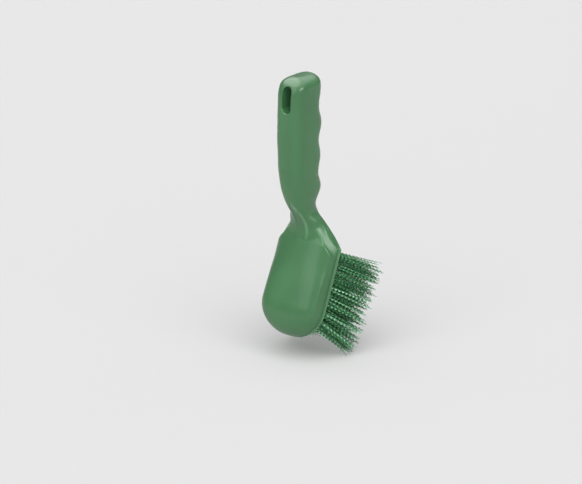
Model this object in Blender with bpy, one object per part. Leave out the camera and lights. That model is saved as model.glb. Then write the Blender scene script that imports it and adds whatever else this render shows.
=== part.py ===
"""Short-handled scrubbing brush: a moulded block with its handle, tufted bristles and their wire staples.

Metres, +Z up. The handle stands upright with its hanging slot at the origin, and the bristles point
along +Y and a little down. The block is a loft of cross-sections. The tufts stand in drilled holes, in
rows from the heel of the head to its nose, and a staple in each hole holds the fold of its tuft.
"""

import math

import bmesh
import bpy
import numpy as np
from mathutils import Vector

MM = 0.001

# Handle, measured from the centre of the slot's mouth in the handle's back
END_HEIGHT = 20.6 * MM
HANDLE_WIDTH = 31.4 * MM
HANDLE_DEPTH = 40.4 * MM
END_BACK_RISE = 20 * MM
END_BACK_REACH = 17 * MM
END_FRONT_RISE = 5 * MM
END_FRONT_REACH = 4 * MM
END_SIDE_RISE = 8.8 * MM
END_SIDE_REACH = 14.2 * MM

# The handle's back swells a little below the slot, over a share of the drop to the neck
BACK_SWELL = 1.2 * MM
BACK_SWELL_SHARE = 0.6

# Finger grip on the handle's front: the drop to each crest or hollow, as a share of the drop to the neck,
# and how far it lies back from the handle's depth, as a share of the relief
GRIP_RELIEF = 3 * MM
GRIP_SHARES = (
    (-0.27, 0.9),
    (-0.07, 0.0),
    (0.10, 0.9),
    (0.25, -0.4),
    (0.41, 1.0),
    (0.54, 0.15),
    (0.70, 1.15),
    (0.84, -0.5),
)

# Hanging slot, through the handle from back to front
SLOT_WIDTH = 11 * MM
SLOT_LENGTH = 26 * MM
SLOT_STEPS = 8
CUT_OVERRUN = 5 * MM

# Neck
NECK_DROP = 111 * MM
NECK_WIDTH = 22.8 * MM
NECK_DEPTH = 27.4 * MM
NECK_SETBACK = 8.6 * MM

# Head: its heel is where the lip starts, and the lip runs on to the nose
HEAD_TILT = math.radians(22)
HEEL_DROP = 153.4 * MM
HEEL_FORWARD = 38.2 * MM
HEAD_WIDTH = 73.2 * MM
HEAD_LENGTH = 93 * MM
NOSE_LENGTH = 31.3 * MM
NOSE_POWER = 2.28
CROWN_HEIGHT = 17.4 * MM
LIP_THICKNESS = 3 * MM
LIP_OVERHANG = 0.8 * MM
LIP_STEP = 0.4 * MM

# Scoop on each shoulder, along a curve from the neck's flank down to the lip. The curve's four control
# points are shares of the head's half width, of its length from the heel and of the crown's height.
SCOOP_WIDTH = 7.6 * MM
SCOOP_DEPTH = 1.8 * MM
SCOOP_SHARES = (
    (0.53, -0.16, 1.08),
    (0.632, -0.082, 0.691),
    (0.958, -0.027, 0.617),
    (0.97, 0.06, 0.10),
)
SCOOP_SEGMENTS = 20
SCOOP_RINGS = 12

# Face that the tufts stand in
RIM_WIDTH = 3.6 * MM
SLICE_THICKNESS = 2.5 * MM
CLEARANCE = 0.3 * MM

# Tufts, their holes and their bristles. The tips spread by shares of the spacing between the tufts.
ROW_TUFTS = (5, 5, 5, 5, 5, 5, 5, 5, 5, 4)
HEEL_MARGIN = 7.2 * MM
NOSE_MARGIN = 13.4 * MM
EDGE_MARGIN = 5.2 * MM
HOLE_RADIUS = 2.5 * MM
HOLE_DEPTH = 10 * MM
HOLE_SIDES = 8
TUFT_STRANDS = 8
TRIM_HEEL = 55 * MM
TRIM_NOSE = 48 * MM
STRAND_RADIUS = 0.62 * MM
STRAND_TIP_SHARE = 0.8
STRAND_SIDES = 3
STRAND_RING_SHARE = 0.68
TIP_ACROSS_SHARE = 0.34
TIP_ALONG_SHARE = 0.38
LEAN_HEEL = math.radians(8)
LEAN_NOSE = math.radians(9)
LEAN_CORNER = math.radians(21)
CORNER_POWER = 3
FLARE = math.radians(10)
TIP_RAGGED = 1.4 * MM
RAGGED_TURNS = (2.3, 1.7, 2.9)

# Staples
WIRE = 0.8 * MM
STAPLE_BITE = 1.4 * MM
FOLD_DEPTH = 1.2 * MM

# Points round a section, and stations along the block
BACK_POINTS = 19
FRONT_POINTS = 13
END_RINGS = 7
NOSE_RINGS = 8
FACE_STEPS = 14
NOSE_SWEEP_SHARE = 0.95
CROWN_NOSE_POWER = 2
FACE_FLAT_SHARE = 1.04
HANDLE_POWER = 3.5
HANDLE_WAIST_SHARE = 0.5
FACE_POWER = 10
SMOOTH_ANGLE = math.radians(35)

# Straight handle stations, as shares of the drop from the slot to the neck
STRAIGHT_SHARES = (0.10, 0.175, 0.25, 0.33, 0.41, 0.475, 0.54)

# From handle to neck: drop share, setback share of the neck's back, share of the way to the neck's width
TAPER_SHARES = (
    (0.62, 0.02, 0.02),
    (0.70, 0.11, 0.07),
    (0.77, 0.19, 0.16),
    (0.84, 0.31, 0.22),
    (0.92, 0.62, 0.50),
    (1.0, 1.0, 1.0),
)
TAPER_POWERS = ((3.5, 3.5), (3.3, 3.5), (3.15, 3.35), (2.9, 3.1), (2.65, 2.9), (2.5, 2.8))

# From neck to heel: place along the curve, share of the way to the head's width, height of the waist in
# the section, powers of the back and front halves, share of the lip's overhang
SHOULDER_SHARES = (
    (0.2, 0.035, 0.50, 2.5, 3.0, 0.0),
    (0.4, 0.25, 0.40, 2.4, 3.4, 0.0),
    (0.6, 0.477, 0.30, 2.2, 4.0, 0.2),
    (0.8, 0.724, 0.21, 2.2, 6.0, 0.6),
)
SHOULDER_TURN = math.radians(45)
SHOULDER_FRONT_TURN = math.radians(22)
SHOULDER_HEEL_TURN = math.radians(-31)
SHOULDER_BACK_PULL = 12 * MM
SHOULDER_HEAD_PULL = 14 * MM
SHOULDER_FRONT_PULL = 15.4 * MM
SHOULDER_HEEL_PULL = 12.9 * MM

# Straight part of the head: share of its length, power of the crown
HEAD_SHARES = ((0.0, 2.65), (0.1, 2.8), (0.32, 3.3), (0.62, 3.5), (0.9, 3.8))
NOSE_CROWN_POWERS = (3.9, 2.1)

GREEN = (0.075, 0.205, 0.095, 1.0)
BRISTLE_GREEN = (0.035, 0.16, 0.07, 1.0)
STEEL = (0.62, 0.63, 0.65, 1.0)


def clear_scene():
    for obj in list(bpy.data.objects):
        bpy.data.objects.remove(obj, do_unlink=True)


def make_material(name, colour, roughness, metallic):
    material = bpy.data.materials.new(name)
    material.use_nodes = True
    shader = material.node_tree.nodes["Principled BSDF"]
    shader.inputs["Base Color"].default_value = colour
    shader.inputs["Roughness"].default_value = roughness
    shader.inputs["Metallic"].default_value = metallic
    material.diffuse_color = colour
    return material


def add_object(name, bm, material=None):
    bmesh.ops.recalc_face_normals(bm, faces=bm.faces)
    mesh = bpy.data.meshes.new(name)
    bm.to_mesh(mesh)
    bm.free()
    if material:
        mesh.materials.append(material)
    obj = bpy.data.objects.new(name, mesh)
    bpy.context.scene.collection.objects.link(obj)
    return obj


def combine(target, tool, operation):
    """Unites the target with a tool body, or cuts it, and removes the tool."""
    modifier = target.modifiers.new(operation.title(), "BOOLEAN")
    modifier.operation = operation
    modifier.solver = "EXACT"
    modifier.object = tool
    bpy.context.view_layer.update()
    evaluated = target.evaluated_get(bpy.context.evaluated_depsgraph_get())
    mesh = bpy.data.meshes.new_from_object(evaluated)
    target.modifiers.remove(modifier)
    target.data = mesh
    bpy.data.objects.remove(tool, do_unlink=True)


def shade(obj):
    obj.data.polygons.foreach_set("use_smooth", [True] * len(obj.data.polygons))
    obj.data.set_sharp_from_angle(angle=SMOOTH_ANGLE)


def bridge_rings(bm, rings):
    """Skins a list of closed rings of points, and fills both ends."""
    rows = [[bm.verts.new(point) for point in ring] for ring in rings]
    count = len(rows[0])
    for low, high in zip(rows, rows[1:]):
        for i in range(count):
            j = (i + 1) % count
            bm.faces.new((low[i], low[j], high[j], high[i]))
    bm.faces.new(rows[0])
    bm.faces.new(rows[-1])


def add_prism(bm, outline, low, high):
    """Extrudes a closed outline of (x, y) places between two heights."""
    bridge_rings(bm, [[(x, y, z) for x, y in outline] for z in (low, high)])


def head_axes():
    """The head's heel, the way to its nose and the way out along the bristles, in the frame's (Y, Z)."""
    heel = np.array((HEEL_FORWARD, -HEEL_DROP))
    to_nose = np.array((-math.sin(HEAD_TILT), -math.cos(HEAD_TILT)))
    outward = np.array((math.cos(HEAD_TILT), -math.sin(HEAD_TILT)))
    return heel, to_nose, outward


def section(back, front, half_width, waist_share, back_power, front_power, lip=0.0, flat_share=1.0):
    """A ring through the back and front points of the block, widest at its waist."""
    across = np.asarray(back) - np.asarray(front)
    depth = np.linalg.norm(across)
    across /= depth
    waist = front + across * depth * waist_share
    turn = np.linspace(0, math.pi, BACK_POINTS)
    back_x = (half_width - lip) * np.sign(np.cos(turn)) * np.abs(np.cos(turn)) ** (2 / back_power)
    rise = (depth * (1 - waist_share) - LIP_STEP) * np.abs(np.sin(turn)) ** (2 / back_power) + LIP_STEP
    turn = np.linspace(math.pi, 2 * math.pi, FRONT_POINTS)
    front_x = half_width * np.sign(np.cos(turn)) * np.abs(np.cos(turn)) ** (2 / front_power)
    drop = depth * waist_share * np.minimum(1, flat_share * np.abs(np.sin(turn)) ** (2 / front_power))
    x = np.concatenate((back_x, front_x))
    n = np.concatenate((rise, -drop))
    return [(a, *(waist + across * b)) for a, b in zip(x, n)]


def back_of_grip(z):
    """The handle's back, level with the slot's mouth and swelling a little below it."""
    share = min(1, max(0, -z / (NECK_DROP * BACK_SWELL_SHARE)))
    return -BACK_SWELL * (1 - math.cos(2 * math.pi * share)) / 2


def front_of_grip(z):
    """The handle's front, with a swelling between every two fingers, down to the neck's front."""
    places = [(drop, HANDLE_DEPTH - GRIP_RELIEF * relief) for drop, relief in GRIP_SHARES]
    places.append((1.0, NECK_SETBACK + NECK_DEPTH))
    drop = -z / NECK_DROP
    for (start, high), (end, low) in zip(places, places[1:]):
        if drop <= end:
            break
    share = min(1, max(0, (drop - start) / (end - start)))
    return high + (low - high) * (1 - math.cos(math.pi * share)) / 2


def end_setback(z, rise, reach):
    """How far the rounded end of the handle has drawn in at a height."""
    climb = min(1, max(0, (z - END_HEIGHT + rise) / rise))
    return reach * (1 - math.sqrt(1 - climb * climb))


def handle_rings():
    rings = []
    for i in range(END_RINGS + 1):
        z = END_HEIGHT - END_BACK_RISE * (1 - math.cos(math.pi / 2 * i / END_RINGS))
        back = (end_setback(z, END_BACK_RISE, END_BACK_REACH), z)
        front = (front_of_grip(z) - end_setback(z, END_FRONT_RISE, END_FRONT_REACH), z)
        half_width = HANDLE_WIDTH / 2 - end_setback(z, END_SIDE_RISE, END_SIDE_REACH)
        rings.append(section(back, front, half_width, HANDLE_WAIST_SHARE, HANDLE_POWER, HANDLE_POWER))
    for share in STRAIGHT_SHARES:
        z = -NECK_DROP * share
        rings.append(section((back_of_grip(z), z), (front_of_grip(z), z), HANDLE_WIDTH / 2,
                             HANDLE_WAIST_SHARE, HANDLE_POWER, HANDLE_POWER))
    for (drop, setback, narrowing), powers in zip(TAPER_SHARES, TAPER_POWERS):
        z = -NECK_DROP * drop
        half_width = (HANDLE_WIDTH + (NECK_WIDTH - HANDLE_WIDTH) * narrowing) / 2
        rings.append(section((NECK_SETBACK * setback, z), (front_of_grip(z), z), half_width,
                             HANDLE_WAIST_SHARE, *powers))
    return rings


def curve_point(start, leave, arrive, end, share):
    """A point of the cubic curve from start to end."""
    rest = 1 - share
    return (rest**3 * start + 3 * rest**2 * share * leave + 3 * rest * share**2 * arrive + share**3 * end)


def shoulder_rings():
    heel, to_nose, outward = head_axes()
    turns = (SHOULDER_TURN, SHOULDER_FRONT_TURN, SHOULDER_HEEL_TURN)
    back_way, front_way, heel_way = [np.array((math.sin(turn), -math.cos(turn))) for turn in turns]
    back_start = np.array((NECK_SETBACK, -NECK_DROP))
    back_end = heel - outward * CROWN_HEIGHT
    front_start = np.array((NECK_SETBACK + NECK_DEPTH, -NECK_DROP))
    front_end = heel + outward * LIP_THICKNESS
    rings = []
    for share, widening, waist, back_power, front_power, lip in SHOULDER_SHARES:
        back = curve_point(back_start, back_start + back_way * SHOULDER_BACK_PULL,
                           back_end - to_nose * SHOULDER_HEAD_PULL, back_end, share)
        front = curve_point(front_start, front_start + front_way * SHOULDER_FRONT_PULL,
                            front_end - heel_way * SHOULDER_HEEL_PULL, front_end, share)
        half_width = (NECK_WIDTH + (HEAD_WIDTH - NECK_WIDTH) * widening) / 2
        rings.append(section(back, front, half_width, waist, back_power, front_power, LIP_OVERHANG * lip))
    return rings


def plan_half_width(place, inset):
    """Half the head's width at a distance from the heel, drawn in from the lip by an inset."""
    into_nose = place - (HEAD_LENGTH - NOSE_LENGTH)
    share = min(1, max(0, into_nose / (NOSE_LENGTH - inset)))
    return (HEAD_WIDTH / 2 - inset) * (1 - share**NOSE_POWER) ** (1 / NOSE_POWER)


def head_rings():
    heel, to_nose, outward = head_axes()
    straight = HEAD_LENGTH - NOSE_LENGTH
    stations = [(straight * share, CROWN_HEIGHT, power) for share, power in HEAD_SHARES]
    for i in range(1, NOSE_RINGS + 1):
        share = math.sin(math.pi / 2 * NOSE_SWEEP_SHARE * i / NOSE_RINGS)
        height = CROWN_HEIGHT * (1 - share**CROWN_NOSE_POWER) ** (1 / CROWN_NOSE_POWER)
        power = NOSE_CROWN_POWERS[0] + (NOSE_CROWN_POWERS[1] - NOSE_CROWN_POWERS[0]) * share
        stations.append((straight + NOSE_LENGTH * share, height, power))
    rings = []
    for place, height, power in stations:
        middle = heel + to_nose * place
        waist = LIP_THICKNESS / (LIP_THICKNESS + height)
        rings.append(section(middle - outward * height, middle + outward * LIP_THICKNESS,
                             plan_half_width(place, 0), waist, power, FACE_POWER,
                             LIP_OVERHANG, FACE_FLAT_SHARE))
    return rings


def row_places():
    """Every tuft row's distance from the heel and the places of its tufts across the head."""
    pitch = (HEAD_LENGTH - HEEL_MARGIN - NOSE_MARGIN) / (len(ROW_TUFTS) - 1)
    rows = []
    for i, count in enumerate(ROW_TUFTS):
        place = HEEL_MARGIN + pitch * i
        reach = plan_half_width(place, RIM_WIDTH) - EDGE_MARGIN
        rows.append((place, [reach * (2 * k / (count - 1) - 1) for k in range(count)]))
    return rows, pitch


def face_outline(start, end, inset):
    """The outline of a piece of the head's face between two distances from the heel."""
    straight = HEAD_LENGTH - NOSE_LENGTH
    turns = [math.pi / 2 * (k + 0.5) / FACE_STEPS for k in range(FACE_STEPS)]
    round_places = [straight + (NOSE_LENGTH - inset) * math.sin(turn) for turn in turns]
    places = [start] + [place for place in round_places if start < place < end] + [end]
    right = [(plan_half_width(place, inset), place) for place in places]
    right = [point for point in right if point[0] > 0]
    return right + [(-x, y) for x, y in reversed(right)]


def head_frame():
    """An empty at the heel: X across the head, Y to the nose and Z out along the bristles."""
    frame = bpy.data.objects.new("head_frame", None)
    bpy.context.scene.collection.objects.link(frame)
    frame.location = (0, HEEL_FORWARD, -HEEL_DROP)
    frame.rotation_euler = (-math.pi / 2 - HEAD_TILT, 0, 0)
    bpy.context.view_layer.update()
    return frame


def slot_cutter():
    """The obround that the hanging slot is cut with, along Y."""
    radius = SLOT_WIDTH / 2
    straight = SLOT_LENGTH / 2 - radius
    arc = [math.pi * k / SLOT_STEPS for k in range(SLOT_STEPS + 1)]
    outline = [(radius * math.cos(a), straight + radius * math.sin(a)) for a in arc]
    outline += [(-x, -z) for x, z in outline]
    bm = bmesh.new()
    bridge_rings(bm, [[(x, y, z) for x, z in outline] for y in (-CUT_OVERRUN, HANDLE_DEPTH + CUT_OVERRUN)])
    return add_object("slot_cutter", bm)


def recess_cutter(frame):
    bm = bmesh.new()
    outline = face_outline(RIM_WIDTH, HEAD_LENGTH - RIM_WIDTH, RIM_WIDTH)
    floor = LIP_THICKNESS - SLICE_THICKNESS - CLEARANCE
    add_prism(bm, outline, floor, LIP_THICKNESS + CUT_OVERRUN)
    tool = add_object("recess_cutter", bm)
    tool.parent = frame
    return tool


def scoop_cutter(frame, side):
    """A long bowl, bent along the shoulder on one side of the head, whose outer half reaches clear of it."""
    scale = Vector((HEAD_WIDTH / 2 * side, HEAD_LENGTH, -CROWN_HEIGHT))
    curve = [Vector(shares) * scale for shares in SCOOP_SHARES]
    along = (curve[-1] - curve[0]).normalized()
    outward = Vector((curve[0].x + curve[-1].x, 0, curve[0].z + curve[-1].z))
    outward = (outward - along * outward.dot(along)).normalized()
    across = along.cross(outward)
    bm = bmesh.new()
    bmesh.ops.create_uvsphere(bm, u_segments=SCOOP_SEGMENTS, v_segments=SCOOP_RINGS, radius=1)
    for vert in bm.verts:
        depth = SCOOP_DEPTH if vert.co.y < 0 else SCOOP_DEPTH + CUT_OVERRUN
        middle = curve_point(*curve, (vert.co.z + 1) / 2)
        vert.co = middle + across * (vert.co.x * SCOOP_WIDTH / 2) + outward * (vert.co.y * depth)
    tool = add_object("scoop_cutter", bm)
    tool.parent = frame
    return tool


def circle(x, y, radius, sides):
    turns = [2 * math.pi * (k + 0.5) / sides for k in range(sides)]
    return [(x + radius * math.cos(t), y + radius * math.sin(t)) for t in turns]


def rectangle(x, y, half_x, half_y):
    left, right = x - half_x, x + half_x
    low, high = y - half_y, y + half_y
    return [(left, low), (right, low), (right, high), (left, high)]


def hole_cutter(frame):
    """Every tuft's drilled hole."""
    bm = bmesh.new()
    for place, across in row_places()[0]:
        for x in across:
            add_prism(bm, circle(x, place, HOLE_RADIUS, HOLE_SIDES), LIP_THICKNESS - HOLE_DEPTH,
                      LIP_THICKNESS)
    tool = add_object("hole_cutter", bm)
    tool.parent = frame
    return tool


def staple_reach():
    """The staple's half length across its tuft, over its legs."""
    return HOLE_RADIUS + WIRE


def wire_height():
    """Height of the staple's bridge over the lip: the tuft's fold lies under it."""
    return LIP_THICKNESS - HOLE_DEPTH + CLEARANCE + FOLD_DEPTH + CLEARANCE


def leg_cutter(frame):
    """The channel on both sides of every hole that its staple's legs are driven into."""
    bm = bmesh.new()
    for place, across in row_places()[0]:
        for x in across:
            outline = rectangle(x, place, staple_reach() + CLEARANCE, WIRE / 2 + CLEARANCE)
            floor = LIP_THICKNESS - HOLE_DEPTH - STAPLE_BITE - CLEARANCE
            add_prism(bm, outline, floor, LIP_THICKNESS)
    tool = add_object("leg_cutter", bm)
    tool.parent = frame
    return tool


def make_block(frame, material):
    bm = bmesh.new()
    bridge_rings(bm, handle_rings() + shoulder_rings() + head_rings())
    block = add_object("handle_block", bm, material)
    combine(block, slot_cutter(), "DIFFERENCE")
    for side in (-1, 1):
        combine(block, scoop_cutter(frame, side), "DIFFERENCE")
    combine(block, recess_cutter(frame), "DIFFERENCE")
    combine(block, hole_cutter(frame), "DIFFERENCE")
    combine(block, leg_cutter(frame), "DIFFERENCE")
    shade(block)
    return block


def strand_offsets():
    """Places of a tuft's strands, as shares of its radius: one near the middle and the rest in a ring."""
    offsets = [(0.0, 0.0)]
    ring = TUFT_STRANDS - 1
    for k in range(ring):
        turn = 2 * math.pi * k / ring
        offsets.append((math.cos(turn), math.sin(turn)))
    return offsets


def add_strand(bm, root, tip):
    """One bristle, narrowing towards its tip."""
    rings = []
    for (x, y, z), radius in ((root, STRAND_RADIUS), (tip, STRAND_RADIUS * STRAND_TIP_SHARE)):
        rings.append([(a, b, z) for a, b in circle(x, y, radius, STRAND_SIDES)])
    bridge_rings(bm, rings)


def make_row(number, place, across, pitch, start, end, frame, material):
    """One row of tufts, fused to its slice of the head's face and to the roots in its holes."""
    bm = bmesh.new()
    add_prism(bm, face_outline(start, end, RIM_WIDTH + CLEARANCE), LIP_THICKNESS - SLICE_THICKNESS,
              LIP_THICKNESS)
    row = add_object(f"tuft_row_{number:02d}", bm, material)

    roots = bmesh.new()
    for x in across:
        add_prism(roots, circle(x, place, HOLE_RADIUS - CLEARANCE, HOLE_SIDES),
                  LIP_THICKNESS - HOLE_DEPTH + CLEARANCE, LIP_THICKNESS - SLICE_THICKNESS / 2)
    combine(row, add_object("roots", roots), "UNION")

    tunnel = bmesh.new()
    side = rectangle(place, wire_height() + WIRE / 2, WIRE / 2 + CLEARANCE, WIRE / 2 + CLEARANCE)
    bridge_rings(tunnel, [[(x, y, z) for y, z in side] for x in (-HEAD_WIDTH, HEAD_WIDTH)])
    combine(row, add_object("tunnel", tunnel), "DIFFERENCE")

    strands = bmesh.new()
    along = (number - 1) / (len(ROW_TUFTS) - 1)
    trim = TRIM_HEEL + (TRIM_NOSE - TRIM_HEEL) * along
    spread_across = TIP_ACROSS_SHARE * (across[1] - across[0])
    spread_along = TIP_ALONG_SHARE * pitch
    for i, x in enumerate(across):
        outward = x / (HEAD_WIDTH / 2 - RIM_WIDTH - EDGE_MARGIN)
        flare = math.tan(FLARE) * outward
        lean = math.tan(LEAN_HEEL + (LEAN_NOSE - LEAN_HEEL) * along
                        + (LEAN_CORNER - LEAN_NOSE) * along**CORNER_POWER * outward * outward)
        for k, (u, v) in enumerate(strand_offsets()):
            radius = HOLE_RADIUS * STRAND_RING_SHARE
            root = (x + u * radius, place + v * radius, LIP_THICKNESS - SLICE_THICKNESS / 2)
            length = trim + TIP_RAGGED * math.sin(np.dot(RAGGED_TURNS, (number, i, k)))
            tip = (x + length * flare + u * spread_across, place + length * lean + v * spread_along,
                   LIP_THICKNESS + length)
            add_strand(strands, root, tip)
    combine(row, add_object("strands", strands), "UNION")
    row.parent = frame
    shade(row)
    return row


def make_staple(name, x, place, frame, material):
    """A U of wire: its bridge passes through the fold of its tuft and its legs bite into the block."""
    outer = staple_reach()
    top = wire_height() + WIRE
    foot = LIP_THICKNESS - HOLE_DEPTH - STAPLE_BITE
    path = (
        ((-outer, foot), (-outer + WIRE, foot)),
        ((-outer, top), (-outer + WIRE, top - WIRE)),
        ((outer, top), (outer - WIRE, top - WIRE)),
        ((outer, foot), (outer - WIRE, foot)),
    )
    bm = bmesh.new()
    rings = []
    for (x0, z0), (x1, z1) in path:
        rings.append([(x0, -WIRE / 2, z0), (x0, WIRE / 2, z0), (x1, WIRE / 2, z1), (x1, -WIRE / 2, z1)])
    bridge_rings(bm, rings)
    staple = add_object(name, bm, material)
    staple.location = (x, place, 0)
    staple.parent = frame
    return staple


def main():
    clear_scene()
    plastic = make_material("green_plastic", GREEN, 0.36, 0.0)
    bristle = make_material("green_bristle", BRISTLE_GREEN, 0.42, 0.0)
    steel = make_material("staple_steel", STEEL, 0.35, 1.0)
    frame = head_frame()
    make_block(frame, plastic)

    rows, pitch = row_places()
    number = 0
    for i, (place, across) in enumerate(rows):
        start = RIM_WIDTH + CLEARANCE if i == 0 else place - pitch / 2 + CLEARANCE / 2
        end = place + pitch / 2 - CLEARANCE / 2
        if i == len(rows) - 1:
            end = HEAD_LENGTH - RIM_WIDTH - CLEARANCE
        make_row(i + 1, place, across, pitch, start, end, frame, bristle)
        for x in across:
            number += 1
            make_staple(f"staple_{number:02d}", x, place, frame, steel)
    bpy.context.view_layer.update()


main()
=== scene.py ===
"""Looks of the short-handled brush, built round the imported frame: a finely lofted block, dense crimped
tufts, moulded plastic and steel finishes, and a plain studio."""

import math
from collections import namedtuple

import bmesh
import bpy
import numpy as np
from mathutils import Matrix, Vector


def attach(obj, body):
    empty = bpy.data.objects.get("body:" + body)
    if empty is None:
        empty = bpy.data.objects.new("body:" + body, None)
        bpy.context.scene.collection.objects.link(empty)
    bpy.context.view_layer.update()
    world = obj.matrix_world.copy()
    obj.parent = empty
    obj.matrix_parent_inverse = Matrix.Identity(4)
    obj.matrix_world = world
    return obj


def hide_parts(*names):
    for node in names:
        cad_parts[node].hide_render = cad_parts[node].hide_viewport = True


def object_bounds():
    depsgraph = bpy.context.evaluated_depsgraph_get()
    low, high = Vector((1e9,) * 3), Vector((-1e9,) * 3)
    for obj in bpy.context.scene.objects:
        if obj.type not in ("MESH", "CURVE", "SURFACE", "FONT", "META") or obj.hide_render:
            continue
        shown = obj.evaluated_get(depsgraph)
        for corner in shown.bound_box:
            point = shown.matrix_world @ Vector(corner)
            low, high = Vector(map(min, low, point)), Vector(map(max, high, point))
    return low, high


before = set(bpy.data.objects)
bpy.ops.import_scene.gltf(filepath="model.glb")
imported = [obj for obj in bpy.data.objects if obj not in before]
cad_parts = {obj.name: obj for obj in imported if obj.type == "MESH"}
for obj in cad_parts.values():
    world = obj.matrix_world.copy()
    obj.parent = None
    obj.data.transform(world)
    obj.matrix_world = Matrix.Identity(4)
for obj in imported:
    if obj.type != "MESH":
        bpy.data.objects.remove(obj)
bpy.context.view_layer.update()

MM = 0.001
SEED = 7

# Handle, in millimetres from the centre of the slot's mouth in its back
END_HEIGHT = 20.6
HANDLE_WIDTH = 31.4
HANDLE_DEPTH = 40.4
END_BACK = (20.0, 17.0)  # how far down the end's rounding starts, and how far in it reaches
END_FRONT = (5.0, 4.0)
END_SIDE = (8.8, 14.2)
HANDLE_POWER = 3.5
HANDLE_WAIST = 0.5
BACK_SWELL = 1.2
BACK_SWELL_SHARE = 0.6
GRIP_RELIEF = 3.0
GRIP = (  # drop share, share of the relief that the front lies back
    (-0.27, 0.9),
    (-0.07, 0.0),
    (0.10, 0.9),
    (0.25, -0.4),
    (0.41, 1.0),
    (0.54, 0.15),
    (0.70, 1.15),
    (0.84, -0.5),
)

# Hanging slot
SLOT_WIDTH = 11.0
SLOT_LENGTH = 26.0
SLOT_ROUND = 1.5
SLOT_ROUND_TURN = math.radians(82)
SLOT_OVERSHOOT = 6.0
SLOT_OVERSPREAD = 0.8
SLOT_ARC_POINTS = 25
SLOT_WALL_POINTS = 11
SLOT_ROUND_RINGS = 9

# Neck and shoulders
NECK_DROP = 111.0
NECK_WIDTH = 22.8
NECK_DEPTH = 27.4
NECK_SETBACK = 8.6
TAPER = (  # drop share, setback share, narrowing share, powers of the back and the front
    (0.54, 0.0, 0.0, 3.5, 3.5),
    (0.62, 0.02, 0.02, 3.5, 3.5),
    (0.70, 0.11, 0.07, 3.3, 3.5),
    (0.77, 0.19, 0.16, 3.15, 3.35),
    (0.84, 0.31, 0.22, 2.9, 3.1),
    (0.92, 0.62, 0.50, 2.65, 2.9),
    (1.0, 1.0, 1.0, 2.5, 2.8),
)
SHOULDER = (  # place on the curve, widening, waist, powers of the back and the front, share of the overhang
    (0.0, 0.0, 0.50, 2.5, 2.8, 0.0),
    (0.2, 0.035, 0.50, 2.5, 3.0, 0.0),
    (0.4, 0.25, 0.40, 2.4, 3.4, 0.0),
    (0.6, 0.477, 0.30, 2.2, 4.0, 0.2),
    (0.8, 0.724, 0.21, 2.5, 6.0, 0.6),
    (1.0, 1.0, 0.147, 3.1, 10.0, 1.0),
)
SHOULDER_PULLS = (12.0, 14.0, 15.4, 12.9)
SHOULDER_TURNS = [math.radians(turn) for turn in (45, 22, -31)]
SOFT_REACH = 13.0
SOFT_WIDTH = 4.5

# Thumb rest in the back of the neck
THUMB_REST = (  # drop, half width, depth of the hollow, height of its edges
    (102.0, 0.2, 0.0, 0.0),
    (106.0, 1.2, 0.2, 0.2),
    (109.0, 3.0, 0.4, 0.4),
    (112.7, 4.3, 0.6, 0.6),
    (118.8, 5.5, 0.7, 0.6),
    (124.0, 6.0, 0.7, 0.6),
    (129.0, 6.7, 0.6, 0.6),
    (136.0, 6.7, 0.4, 0.5),
    (144.5, 5.8, 0.2, 0.2),
    (150.0, 5.0, 0.0, 0.0),
)
THUMB_EDGE = 1.6
THUMB_POWER = 1.5

# Head
HEAD_TILT = math.radians(22)
HEEL = np.array((38.2, -153.4))
HEAD_WIDTH = 73.2
HEAD_LENGTH = 93.0
NOSE_LENGTH = 31.3
NOSE_POWER = 2.28
CROWN_HEIGHT = 17.4
CROWN_POWERS = (  # place from the heel, power
    (0.0, 3.1),
    (6.2, 3.0),
    (19.7, 2.9),
    (38.3, 3.4),
    (55.5, 3.8),
    (61.7, 3.9),
    (93.0, 2.1),
)
LIP_THICKNESS = 3.0
LIP_OVERHANG = 1.7
LIP_STEP = 0.4
FACE_POWER = 10.0
FACE_FLATNESS = 1.04

# Scoops in the shoulders
SCOOP_CURVE = (  # shares of half the head's width, its length and the crown's height
    (0.455, -0.165, 1.10),
    (0.60, -0.11, 0.80),
    (0.87, -0.035, 0.64),
    (0.957, 0.045, 0.12),
)
SCOOP_WIDTH = 6.5
SCOOP_DEPTH = 0.9
SCOOP_HOLLOW = 0.25
SCOOP_ROUND = 0.2
SCOOP_OVERRUN = 0.3
SCOOP_STEPS = 81
SCOOP_REACH = 9.0
SCOOP_RUNOUT = 0.25
SCOOP_RUNOUT_FADE = 0.15
SCOOP_SIDE = 2.2
SCOOP_SIDE_FADE = 0.8

# Painted highlights: the thumb rest's edge on the +X side and the scoops' rims are painted paler
THUMB_HIGHLIGHT_WIDTH = 1.7
THUMB_HIGHLIGHT_FACING = 3.0
RIM_SETBACK = 0.45
RIM_WIDTH = 0.25
RIM_HIGHLIGHT_END = 0.03
RIM_HIGHLIGHT_SIDE = 2.0

# Points and rings of the block's skin
BACK_POINTS = 121
FRONT_POINTS = 61
END_RINGS = 48
HANDLE_STEP = 1.0
SHOULDER_RINGS = 74
HEEL_REACH = 16.0
HEEL_STEP = 0.6
HEAD_STEP = 1.2
NOSE_RINGS = 56
NOSE_END = 0.985
SHARP_ANGLE = math.radians(32)

# Rows of tufts and their holes
ROW_PLACES = np.linspace(7.2, 79.6, 10)
ROW_MARGIN = 6.4
ROW_INSET = 3.6
TUFT_SPACING = 8.0
HOLE_RADIUS = 2.4
HOLE_DEPTH = 2.0
HOLE_CHAMFER = 0.35
HOLE_LIFT = 0.01
HOLE_OVERSHOOT = 1.0
HOLE_SIDES = 20

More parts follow.
